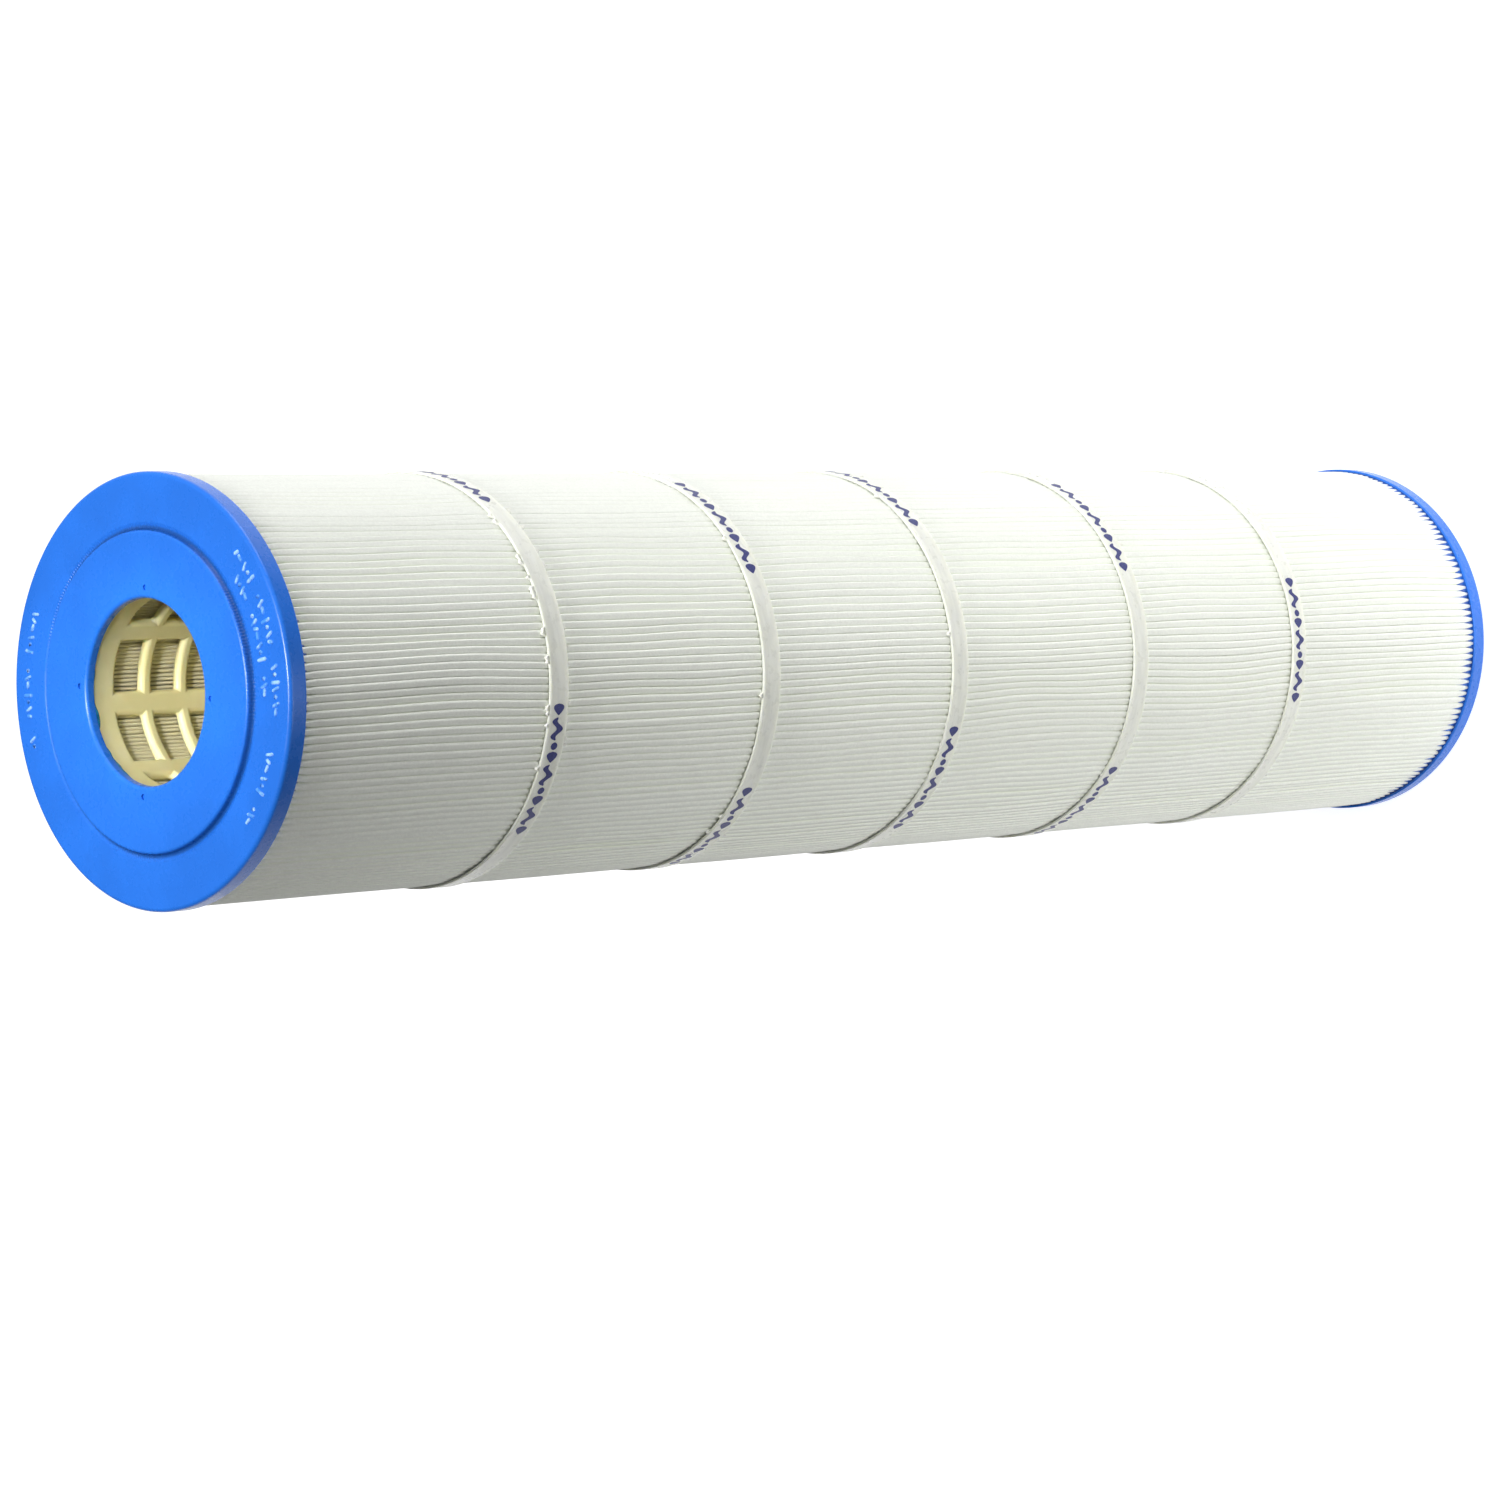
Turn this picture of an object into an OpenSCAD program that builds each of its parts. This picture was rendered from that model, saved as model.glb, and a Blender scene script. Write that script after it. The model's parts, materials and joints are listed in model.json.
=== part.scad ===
// Pleated filter cartridge for a pool or spa filter tank.
// Millimetres. The axis is +Z. The cartridge stands on its lower end cap, and z = 0 is the face
// it stands on.

/* [Envelope] */
// Length over the raised faces of the two end caps
overall_len = 800; // [600:1:900]
// Outside diameter of the end caps
cap_d = 178; // [177:1:182]

/* [End caps] */
// Diameter of the opening through each end cap
bore_d = 76; // [70:0.5:76]
// Height of the cap's rim, from its outer face to its lip
rim_h = 8.7; // [7:0.1:12]
// Thickness of the cap's web under the core and the pleats
web_t = 2.4; // [2.2:0.1:3.5]
// Height of the raised middle disc above the rest of the face
boss_h = 1.9; // [1.2:0.1:2.4]
// Diameter of the raised middle disc
boss_d = 130; // [120:1:140]
// Round on the outer edge of the cap
edge_round = 1.8; // [1:0.1:2]
// Round on the mouth of the opening
mouth_round = 1.6; // [1:0.1:1.8]

/* [Core] */
// Inside diameter of the core
core_id = 78; // [77:0.5:80]
// Wall thickness of the core
core_wall = 4.6; // [4:0.1:4.8]
// Number of core sections stacked end to end
section_count = 6; // [6]
// Rows of windows in each section
window_rows = 6; // [4:1:6]
// Windows around each row
windows_around = 8; // [6:1:8]
// Angle that one window spans, in degrees
window_angle = 31; // [24:1:34]
// Axial length of a window
window_len = 13.4; // [8:0.1:13.4]
// Axial width of the ring between two rows of windows
ring_w = 5.6; // [4:0.1:6]
// Length of the spigot that joins one section to the next
spigot_len = 8; // [5:0.5:9]

/* [Media] */
// Number of pleats
pleat_count = 168; // [120:1:168]
// Diameter over the pleat tips
media_d = 175.6; // [170:0.1:175.8]
// Diameter inside the inner folds
media_id = 89; // [88:0.5:92]
// Thickness of the fabric
fabric_t = 0.45; // [0.3:0.05:0.5]

/* [Bands] */
// Width of a band
band_w = 10.5; // [8:0.5:14]
// Thickness of a band
band_t = 0.6; // [0.4:0.1:0.8]
// Thickness of the hot-melt layer under a band
glue_t = 0.3; // [0.2:0.1:0.5]
// Length of the lap where the two ends of a band meet
band_lap = 28; // [15:1:40]

/* [Hidden] */
$fn = 96;
BAND_NUMBERS = [1, 2, 3, 4, 5];
SECTION_NUMBERS = [1, 2, 3, 4, 5, 6];

// Height of each band's middle, as a share of the overall length, from the lower end up.
BAND_SHARES = [0.1958, 0.3469, 0.507, 0.6596, 0.8172];
// Where each band's lap lies, in degrees round the axis.
BAND_LAP_ANGLES = [78, 96, 84, 105, 90];

cap_r = cap_d / 2;
bore_r = bore_d / 2;
boss_r = boss_d / 2;
boss_bevel = 1.6;
pocket_floor = boss_h + web_t;
lip_z = boss_h + rim_h;
resin_gap = 0.4;
pocket_clear = 0.15;

core_ri = core_id / 2;
core_ro = core_ri + core_wall;
core_len = overall_len - 2 * pocket_floor;
section_len = core_len / section_count;
windows_len = window_rows * window_len + (window_rows - 1) * ring_w;
collar_len = (section_len - windows_len) / 2;
window_pitch = window_len + ring_w;
joint_r = core_ri + core_wall / 2;
joint_clear = 0.05;
joint_end_clear = 0.3;
first_window_angle = 30;

media_ro = media_d / 2;
media_ri = media_id / 2;
media_len = core_len;
pocket_r = media_ro + pocket_clear;
pleat_angle = 360 / pleat_count;
tip_r = 0.8;
fold_gap = 0.2;
rad = 180 / PI;

pin_mark_d = 1.8;
pin_mark_depth = 2;
pin_mark_circle_r = core_ri + core_wall * 0.7;
pin_mark_turn = -3.5;

seam_in_r = media_ri + 14;
seam_out_r = media_ro - 2;
seam_clear = 0.06;
seam_pleat = 42;

CAP_BLUE = [0.07, 0.33, 0.93];
RESIN_BLUE = [0.05, 0.22, 0.72];
CORE_CREAM = [0.87, 0.83, 0.62];
MEDIA_WHITE = [0.95, 0.96, 0.94];
BAND_WHITE = [0.90, 0.91, 0.87];
GLUE_WHITE = [0.93, 0.92, 0.85];

// --- small helpers ---

function at(r, a) = [r * cos(a), r * sin(a)];

// Degrees round the axis that a distance s takes at radius r.
function turn(s, r) = s / r * rad;

// Runs its children as the upper end, the mirror image of the lower one.
module upper_end() {
    translate([0, 0, overall_len]) mirror([0, 0, 1]) children();
}

// --- end caps ---

// Half section of an end cap, outer face down.
module cap_section() {
    lip_round = 0.5;
    difference() {
        union() {
            polygon(concat(
                [[bore_r, boss_h + web_t], [bore_r, boss_h]],
                [[boss_r + boss_bevel, boss_h]],
                [[cap_r - edge_round, boss_h]]
            ));
            translate([bore_r, 0]) square([boss_r - bore_r, pocket_floor]);
            polygon([[boss_r, 0], [boss_r + boss_bevel, boss_h], [boss_r, boss_h]]);
            translate([bore_r, boss_h]) square([cap_r - edge_round - bore_r, web_t]);
            translate([cap_r - edge_round, boss_h + edge_round]) circle(edge_round);
            translate([pocket_r, boss_h + edge_round])
                square([cap_r - pocket_r, rim_h - edge_round - lip_round]);
            translate([pocket_r, lip_z - lip_round])
                square([cap_r - lip_round - pocket_r, lip_round]);
            translate([cap_r - lip_round, lip_z - lip_round]) circle(lip_round);
        }
        translate([bore_r - 1, -1]) square([1 + mouth_round, 1 + mouth_round]);
        translate([pocket_r - cap_r, pocket_floor]) square([cap_r, rim_h]);
    }
    translate([bore_r + mouth_round, mouth_round]) circle(mouth_round);
}

module end_cap() {
    color(CAP_BLUE) difference() {
        rotate_extrude() cap_section();
        for (a = [0 : 90 : 270])
            rotate(pin_mark_turn + a) translate([pin_mark_circle_r, 0, -1])
                cylinder(h = 1 + pin_mark_depth, d = pin_mark_d, $fn = 24);
    }
}

// --- core ---

module core_window(row, index) {
    z = collar_len + row * window_pitch;
    a = first_window_angle + index * 360 / windows_around - window_angle / 2;
    translate([0, 0, z]) rotate(a) rotate_extrude(angle = window_angle)
        translate([core_ri - 1, 0]) square([core_wall + 2, window_len]);
}

// One section of the core: a spigot on top fits the socket of the section above.
module core_section(number) {
    is_lowest = number == 1;
    is_highest = number == section_count;
    color(CORE_CREAM) translate([0, 0, pocket_floor + (number - 1) * section_len]) difference() {
        union() {
            cylinder(h = section_len, r = core_ro);
            if (!is_highest) cylinder(h = section_len + spigot_len, r = joint_r - joint_clear);
        }
        translate([0, 0, -1]) cylinder(h = section_len + spigot_len + 2, r = core_ri);
        if (!is_lowest) translate([0, 0, -1]) cylinder(h = spigot_len + joint_end_clear + 1, r = joint_r);
        for (row = [0 : window_rows - 1])
            for (index = [0 : windows_around - 1]) core_window(row, index);
    }
}

// --- pleated media ---

leg_turn = turn(fabric_t, media_ri);

// Where a gap between two pleats narrows to at the inner folds, in degrees from the pleat's middle.
valley_turn = pleat_angle / 2 - turn(fold_gap, media_ri);

// The sheet's outer face for one pleat: a round tip, then the foot of the gap beside it.
function outer_face(middle) = concat(
    [for (k = [0 : 4]) let (a = -180 + 45 * k)
        at(media_ro - tip_r - tip_r * sin(a), middle + turn(tip_r * cos(a), media_ro))],
    [at(media_ri + fabric_t, middle + valley_turn),
     at(media_ri + fabric_t, middle + pleat_angle - valley_turn)]
);

// The sheet's inner face for one pleat: the inside of its tip, then the nose of the inner fold.
function inner_face(middle) =
    let (slot_turn = turn(tip_r - fabric_t, media_ro), nose_turn = valley_turn - leg_turn) [
    at(media_ro - tip_r, middle - slot_turn),
    at(media_ro - fabric_t, middle),
    at(media_ro - tip_r, middle + slot_turn),
    at(media_ri + fabric_t, middle + nose_turn),
    at(media_ri, middle + valley_turn),
    at(media_ri, middle + pleat_angle - valley_turn),
    at(media_ri + fabric_t, middle + pleat_angle - nose_turn)
];

OUTER_FACE = [for (i = [0 : pleat_count - 1]) each outer_face(i * pleat_angle)];
INNER_FACE = [for (i = [0 : pleat_count - 1]) each inner_face(i * pleat_angle)];

module pleated_media() {
    sheet = concat(OUTER_FACE, INNER_FACE);
    outer_count = len(OUTER_FACE);
    color(MEDIA_WHITE) translate([0, 0, pocket_floor]) linear_extrude(media_len)
        polygon(sheet, [
            [for (i = [0 : outer_count - 1]) i],
            [for (i = [outer_count : len(sheet) - 1]) i]
        ]);
}

// The bead of hot melt that joins the sheet's two ends, in the gap beside one pleat.
module media_seam() {
    middle = (seam_pleat + 0.5) * pleat_angle;
    gap_at_tip = pleat_angle / 2 - turn(tip_r, media_ro);
    gap_at_foot = pleat_angle / 2 - valley_turn;
    share = (seam_in_r - media_ri) / (media_ro - media_ri);
    half_in = gap_at_foot + share * (gap_at_tip - gap_at_foot) - turn(seam_clear, media_ri) * 2;
    half_out = gap_at_tip - turn(seam_clear, media_ro) * 2;
    color(GLUE_WHITE) translate([0, 0, lip_z]) linear_extrude(overall_len - 2 * lip_z)
        polygon([
            at(seam_in_r, middle - half_in), at(seam_out_r, middle - half_out),
            at(seam_out_r, middle + half_out), at(seam_in_r, middle + half_in)
        ]);
}

// --- potting resin ---

// Cured resin round the pleat ends: one comb outside the sheet, one between the sheet and the core.
module potting_resin() {
    color(RESIN_BLUE) translate([0, 0, pocket_floor])
        linear_extrude(lip_z - resin_gap - pocket_floor) {
            difference() {
                circle(pocket_r);
                polygon(OUTER_FACE);
            }
            difference() {
                polygon(INNER_FACE);
                circle(core_ro);
            }
        }
}

// --- bands ---

module ring(z, width, r_in, r_out) {
    translate([0, 0, z - width / 2]) rotate_extrude()
        translate([r_in, 0]) square([r_out - r_in, width]);
}

module band_adhesive(number) {
    color(GLUE_WHITE)
        ring(BAND_SHARES[number - 1] * overall_len, band_w * 0.7, media_ro, media_ro + glue_t);
}

module band(number) {
    z = BAND_SHARES[number - 1] * overall_len;
    r_in = media_ro + glue_t;
    lap_angle = turn(band_lap, r_in);
    color(BAND_WHITE) union() {
        ring(z, band_w, r_in, r_in + band_t);
        translate([0, 0, z - band_w / 2])
            rotate(BAND_LAP_ANGLES[number - 1] - lap_angle / 2)
                rotate_extrude(angle = lap_angle)
                    translate([r_in + band_t / 2, 0]) square([band_t, band_w]);
    }
}

upper_end() end_cap();  // end_cap_top
end_cap();  // end_cap_bottom
upper_end() potting_resin();  // potting_resin_top
potting_resin();  // potting_resin_bottom
for (i = SECTION_NUMBERS)
    core_section(i);
pleated_media();
media_seam();
for (i = BAND_NUMBERS)
    band(i);
for (i = BAND_NUMBERS)
    band_adhesive(i);
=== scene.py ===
import json
import math

import bmesh
import bpy
import numpy as np
from mathutils import Matrix, Vector


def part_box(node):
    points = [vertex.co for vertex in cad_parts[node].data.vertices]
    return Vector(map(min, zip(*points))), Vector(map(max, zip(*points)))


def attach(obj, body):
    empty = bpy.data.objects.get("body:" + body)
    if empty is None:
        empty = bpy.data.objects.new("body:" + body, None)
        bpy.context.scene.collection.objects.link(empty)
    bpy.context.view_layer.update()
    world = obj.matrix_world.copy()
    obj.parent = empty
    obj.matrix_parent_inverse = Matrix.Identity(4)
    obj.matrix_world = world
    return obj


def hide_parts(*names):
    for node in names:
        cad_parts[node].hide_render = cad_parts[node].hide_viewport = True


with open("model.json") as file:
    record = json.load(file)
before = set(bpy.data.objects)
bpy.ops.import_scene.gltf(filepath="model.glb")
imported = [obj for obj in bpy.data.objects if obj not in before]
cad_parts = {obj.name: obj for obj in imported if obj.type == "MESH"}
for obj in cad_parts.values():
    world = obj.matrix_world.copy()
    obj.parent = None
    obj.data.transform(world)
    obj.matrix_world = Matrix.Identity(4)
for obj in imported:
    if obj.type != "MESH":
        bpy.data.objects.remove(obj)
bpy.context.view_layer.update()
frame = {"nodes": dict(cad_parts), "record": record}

# The cartridge stands on its lower cap: Z is its axis, and z = 0 is the face it stands on.
# Lengths are in metres, or in millimetres times MM. Angles round the axis run from +X towards +Y.

MM = 0.001
TAU = 2 * math.pi
rng = np.random.default_rng(24)


# ---------------------------------------------------------------- sizes from the frame

def radius_of(node):
    low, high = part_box(node)
    return max(high.x - low.x, high.y - low.y) / 2


def span_z(node):
    low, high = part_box(node)
    return low.z, high.z


CAP_R = radius_of("end_cap_top")
TOP = span_z("end_cap_top")[1]
CAP_H = span_z("end_cap_bottom")[1]
MEDIA_R = radius_of("pleated_media")
MEDIA_Z0, MEDIA_Z1 = span_z("pleated_media")
POCKET = MEDIA_Z0  # height of the pocket's floor inside a cap
MOUNTS = {m["name"]: m for m in frame["record"]["mounts"]}
BORE_R = MOUNTS["top_bore"]["dims"]["r_mm"] * MM
CORE_RO = radius_of("core_section_6")
BANDS = ["band_%d" % k for k in range(1, 6)]
BAND_Z = [sum(span_z(b)) / 2 for b in BANDS]
BAND_W = span_z("band_1")[1] - span_z("band_1")[0]
GLUE_R = radius_of("band_adhesive_1")

# sizes that no box of a node gives
PLEATS = 168
PITCH = TAU / PLEATS
FOLD_R = 44.6 * MM  # the sheet's inner folds
BOSS_R = 65 * MM  # the raised disc in the middle of a cap
BOSS_H = 1.9 * MM
PIN_TURN = math.radians(-3.5)  # turn of the four pin marks away from the X and Y axes
CORE_RI = 39 * MM
CORE_SECTIONS = 6


# ---------------------------------------------------------------- mesh helpers

def new_object(name, verts, faces, materials, face_material=None):
    mesh = bpy.data.meshes.new(name)
    mesh.from_pydata([tuple(v) for v in verts], [], faces)
    for m in materials:
        mesh.materials.append(m)
    mesh.polygons.foreach_set("use_smooth", [True] * len(mesh.polygons))
    if face_material is not None:
        mesh.polygons.foreach_set("material_index", face_material)
    mesh.update()
    obj = bpy.data.objects.new(name, mesh)
    bpy.context.scene.collection.objects.link(obj)
    return obj


def place(obj, slot, *nodes):
    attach(obj, "root")
    if nodes:
        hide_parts(*nodes)


def polar(r, a, z):
    return r * math.cos(a), r * math.sin(a), z


def arc(cx, cy, radius, a0, a1, steps):
    """Points of an arc round (cx, cy) from a0 to a1 degrees."""
    angles = [math.radians(a0 + (a1 - a0) * i / steps) for i in range(steps + 1)]
    return [(cx + radius * math.cos(a), cy + radius * math.sin(a)) for a in angles]


def grid_faces(rows, cols, closed_cols=True, closed_rows=False):
    """Quads of a rows x cols sheet of points, closed round either way."""
    faces = []
    for j in range(rows if closed_rows else rows - 1):
        for i in range(cols if closed_cols else cols - 1):
            this_row, next_row = j * cols, (j + 1) % rows * cols
            beside = (i + 1) % cols
            faces.append((this_row + i, this_row + beside, next_row + beside, next_row + i))
    return faces


def lathe(profile, segments):
    """Verts and faces of a closed (r, z) outline turned round Z."""
    verts = [polar(r, TAU * s / segments, z) for s in range(segments) for r, z in profile]
    return verts, grid_faces(segments, len(profile), True, True)


def join_parts(parts):
    """One set of verts and faces from several."""
    verts, faces = [], []
    for part_verts, part_faces in parts:
        start = len(verts)
        verts += list(part_verts)
        faces += [tuple(start + i for i in face) for face in part_faces]
    return verts, faces


def ring_noise(count, reach, amount):
    """Random values round a ring, each like its neighbours over `reach` steps, with the given rms."""
    waves = np.fft.fft(rng.normal(size=count))
    k = np.fft.fftfreq(count, 1 / count)
    smooth = np.real(np.fft.ifft(waves * np.exp(-((k * reach / count * 2.2) ** 2))))
    return smooth / max(smooth.std(), 1e-9) * amount


def face_outwards(obj):
    bm = bmesh.new()
    bm.from_mesh(obj.data)
    bmesh.ops.recalc_face_normals(bm, faces=bm.faces)
    bm.to_mesh(obj.data)
    bm.free()


def apply_modifiers(obj):
    graph = bpy.context.evaluated_depsgraph_get()
    mesh = bpy.data.meshes.new_from_object(obj.evaluated_get(graph))
    obj.modifiers.clear()
    old = obj.data
    obj.data = mesh
    bpy.data.meshes.remove(old)


def sharpen(obj, degrees):
    """Smooth shading, with edges sharper than the angle kept crisp."""
    bm = bmesh.new()
    bm.from_mesh(obj.data)
    for f in bm.faces:
        f.smooth = True
    for e in bm.edges:
        e.smooth = len(e.link_faces) == 2 and e.calc_face_angle(0) < math.radians(degrees)
    bm.to_mesh(obj.data)
    bm.free()


# ---------------------------------------------------------------- materials

class Graph:
    """A material's node graph, on object coordinates in metres."""

    def __init__(self, name, roughness, specular=0.5):
        self.mat = bpy.data.materials.new(name)
        self.mat.use_nodes = True
        self.tree = self.mat.node_tree
        self.shader = self.tree.nodes["Principled BSDF"]
        self.set("Roughness", roughness)
        self.set("Specular IOR Level", specular)
        self.coords = self.tree.nodes.new("ShaderNodeTexCoord").outputs["Object"]

    def set(self, socket, value):
        self.shader.inputs[socket].default_value = value

    def link(self, a, b):
        self.tree.links.new(a, b)

    def noise(self, scale, detail=3.0, rough=0.55, stretch=None):
        node = self.tree.nodes.new("ShaderNodeTexNoise")
        node.inputs["Scale"].default_value = scale
        node.inputs["Detail"].default_value = detail
        node.inputs["Roughness"].default_value = rough
        vector = self.coords
        if stretch:
            mapping = self.tree.nodes.new("ShaderNodeMapping")
            mapping.inputs["Scale"].default_value = stretch
            self.link(vector, mapping.inputs["Vector"])
            vector = mapping.outputs["Vector"]
        self.link(vector, node.inputs["Vector"])
        return node.outputs["Fac"]

    def math(self, op, *values):
        node = self.tree.nodes.new("ShaderNodeMath")
        node.operation = op
        for k, value in enumerate(values):
            if hasattr(value, "links"):
                self.link(value, node.inputs[k])
            else:
                node.inputs[k].default_value = value
        return node.outputs[0]

    def add(self, a, b):
        return self.math("ADD", a, b)

    def times(self, a, b):
        return self.math("MULTIPLY", a, b)

    def ramp(self, fac, low, high, a=0.0, b=1.0):
        """Goes smoothly from a to b as fac goes from low to high."""
        node = self.tree.nodes.new("ShaderNodeMapRange")
        node.inputs["From Min"].default_value = low
        node.inputs["From Max"].default_value = high
        node.inputs["To Min"].default_value = a
        node.inputs["To Max"].default_value = b
        node.interpolation_type = "SMOOTHSTEP"
        self.link(fac, node.inputs["Value"])
        return node.outputs["Result"]

    def mix(self, fac, a, b):
        """Colour a where fac is 0, and colour b where it is 1."""
        node = self.tree.nodes.new("ShaderNodeMix")
        node.data_type = "RGBA"
        self.link(fac, node.inputs["Factor"])
        for value, socket in ((a, node.inputs[6]), (b, node.inputs[7])):
            if hasattr(value, "links"):
                self.link(value, socket)
            else:
                socket.default_value = (*value, 1.0)
        return node.outputs[2]

    def xyz(self):
        node = self.tree.nodes.new("ShaderNodeSeparateXYZ")
        self.link(self.coords, node.inputs[0])
        return node.outputs

    def radius(self):
        x, y, _ = self.xyz()
        return self.math("SQRT", self.add(self.times(x, x), self.times(y, y)))

    def color(self, value):
        self.link(value, self.shader.inputs["Base Color"])

    def rough(self, value):
        self.link(value, self.shader.inputs["Roughness"])

    def bump(self, height, distance, strength=1.0):
        node = self.tree.nodes.new("ShaderNodeBump")
        node.inputs["Distance"].default_value = distance
        node.inputs["Strength"].default_value = strength
        self.link(height, node.inputs["Height"])
        self.link(node.outputs["Normal"], self.shader.inputs["Normal"])

    def milky(self, weight, depth):
        """Light enters the surface; depth is in metres for red, green and blue."""
        self.set("Subsurface Weight", weight)
        self.set("Subsurface Radius", depth)
        self.set("Subsurface Scale", 1.0)


def shade(color, factor):
    return tuple(min(1.0, c * factor) for c in color)


def cap_material():
    """Glossy blue plastic, with painted shade in the groove round the raised disc and faint turned ticks on
    it.
    """
    g = Graph("cap_plastic", 0.28, 0.38)
    blue = (0.019, 0.165, 0.71)
    radius = g.radius()
    # painted shade: the groove round the raised disc is coloured a much darker blue (shade(blue, 0.36)
    # below)
    groove = g.times(g.ramp(radius, 65.0 * MM, 65.7 * MM), g.ramp(radius, 67.9 * MM, 66.3 * MM))
    cloud = g.ramp(g.noise(28, 4), 0.3, 0.7)
    plain_blue = g.mix(cloud, shade(blue, 0.93), shade(blue, 1.06))
    # mixes the painted shade of the groove over the plain blue
    g.color(g.mix(g.times(groove, 0.9), plain_blue, shade(blue, 0.36)))
    g.rough(g.ramp(g.noise(160, 5, 0.6), 0.25, 0.75, 0.22, 0.34))
    x, y, _ = g.xyz()
    ticks = g.math("SINE", g.times(g.math("ARCTAN2", y, x), 300.0))
    ticked = g.times(g.ramp(radius, 64.6 * MM, 65.4 * MM), g.ramp(radius, 69 * MM, 67.6 * MM))
    patch = g.ramp(g.noise(18, 1), 0.42, 0.62)
    grain = g.add(g.noise(1400, 3), g.times(g.noise(95, 2), 0.8))
    g.bump(g.add(g.times(grain, 0.2), g.times(g.times(g.times(ticks, ticked), patch), 0.9)), 0.00009)
    return g.mat


def mark_material():
    """The caps' blue, frosted where the mould was roughened, and a paler blue as a painted highlight."""
    g = Graph("cap_marking", 0.5, 0.5)
    # painted highlight: the marks are a paler blue than the cap, so they read as catching the light
    g.color(g.mix(g.ramp(g.noise(240, 3), 0.42, 0.62), (0.06, 0.27, 0.84), (0.32, 0.56, 1.0)))
    g.rough(g.ramp(g.noise(700, 3), 0.3, 0.7, 0.4, 0.65))
    g.bump(g.noise(1600, 3), 0.00012, 0.6)
    return g.mat


def resin_material():
    """Dark blue cast resin."""
    g = Graph("potting_resin", 0.16)
    blue = (0.018, 0.085, 0.42)
    g.color(g.mix(g.ramp(g.noise(120, 3), 0.3, 0.7), shade(blue, 0.75), (0.02, 0.13, 0.55)))
    g.rough(g.ramp(g.noise(300, 3), 0.3, 0.7, 0.1, 0.3))
    g.bump(g.noise(420, 3), 0.0003, 0.5)
    g.set("Coat Weight", 0.5)
    return g.mat


def flash_material():
    """The same resin where it is thin and light comes through."""
    g = Graph("resin_flash", 0.12)
    g.color(g.mix(g.ramp(g.noise(260, 3), 0.35, 0.65), (0.0, 0.14, 0.40), (0.01, 0.40, 0.72)))
    g.rough(g.ramp(g.noise(500, 2), 0.3, 0.7, 0.08, 0.25))
    g.bump(g.noise(520, 3), 0.0004, 0.6)
    g.set("Coat Weight", 0.6)
    return g.mat


def core_material():
    """Satin cream plastic."""
    g = Graph("core_plastic", 0.36)
    cream = (0.93, 0.85, 0.44)
    g.color(g.mix(g.ramp(g.noise(35, 4), 0.3, 0.7), shade(cream, 0.94), (0.95, 0.89, 0.54)))
    g.rough(g.ramp(g.noise(220, 4), 0.3, 0.7, 0.28, 0.46))
    g.bump(g.add(g.noise(700, 3), g.times(g.noise(90, 2), 1.4)), 0.00012, 0.5)
    g.milky(0.25, (0.004, 0.003, 0.0015))
    return g.mat


def media_material():
    """White spun-bonded fabric, with a greenish painted shade between the pleats, and cream at the inner
    folds.
    """
    g = Graph("media_fabric", 0.82, 0.25)
    white, tint = (0.92, 0.94, 0.885), (0.90, 0.925, 0.855)
    green, cream = (0.89, 0.93, 0.80), (0.93, 0.885, 0.66)
    radius = g.radius()
    cloud = g.ramp(g.noise(16, 3, 0.5, (1, 1, 0.35)), 0.35, 0.7)
    fibre = g.noise(1900, 4, 0.7, (1, 1, 0.22))
    flat = g.noise(900, 3, 0.6)
    speck = g.ramp(g.add(fibre, flat), 0.8, 1.25)
    crest = g.mix(speck, shade(white, 0.93), g.mix(cloud, white, tint))
    # painted shade: a greener, darker tone below the crests, in the gaps between the pleats
    outer = g.mix(g.ramp(radius, MEDIA_R - 0.4 * MM, MEDIA_R - 1.6 * MM), crest, green)
    g.color(g.mix(g.ramp(radius, 52 * MM, 46.5 * MM), outer, cream))
    g.rough(g.ramp(fibre, 0.3, 0.7, 0.72, 0.92))
    texture = g.add(g.times(fibre, 0.7), g.times(flat, 0.8))
    g.bump(g.times(texture, g.ramp(radius, 66 * MM, 84 * MM, 0.04, 1.0)), 0.00022, 0.75)
    g.set("Sheen Weight", 0.15)
    return g.mat


def band_material():
    """Milky strap plastic."""
    g = Graph("band_plastic", 0.3)
    milk = (0.88, 0.90, 0.77)
    streak = g.ramp(g.noise(60, 3, 0.5, (1, 1, 5)), 0.3, 0.7)
    g.color(g.mix(streak, shade(milk, 0.93), shade(milk, 1.05)))
    g.rough(g.ramp(g.noise(300, 3), 0.3, 0.7, 0.24, 0.44))
    g.bump(g.add(g.noise(520, 3), g.times(g.noise(80, 2), 1.5)), 0.00012, 0.5)
    g.milky(0.4, (0.003, 0.003, 0.002))
    return g.mat


def ink_material():
    """Dark blue ink, thinner in specks."""
    g = Graph("printed_ink", 0.45)
    g.color(g.mix(g.ramp(g.noise(1500, 3), 0.45, 0.8), (0.016, 0.022, 0.16), (0.05, 0.065, 0.26)))
    g.bump(g.noise(1800, 2), 0.00003, 0.5)
    return g.mat


def glue_material():
    """Glossy off-white hot-melt adhesive."""
    g = Graph("hot_melt", 0.18)
    g.color(g.mix(g.ramp(g.noise(200, 3), 0.3, 0.7), (0.86, 0.87, 0.78), (0.94, 0.94, 0.89)))
    g.rough(g.ramp(g.noise(400, 2), 0.3, 0.7, 0.12, 0.3))
    g.bump(g.noise(600, 3), 0.0003, 0.5)
    g.milky(0.3, (0.002, 0.002, 0.0015))
    return g.mat


CAP = cap_material()
MARKING = mark_material()
RESIN = resin_material()
FLASH = flash_material()
CORE = core_material()
MEDIA = media_material()
BAND = band_material()
INK = ink_material()
GLUE = glue_material()


# ---------------------------------------------------------------- pleated media

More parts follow.
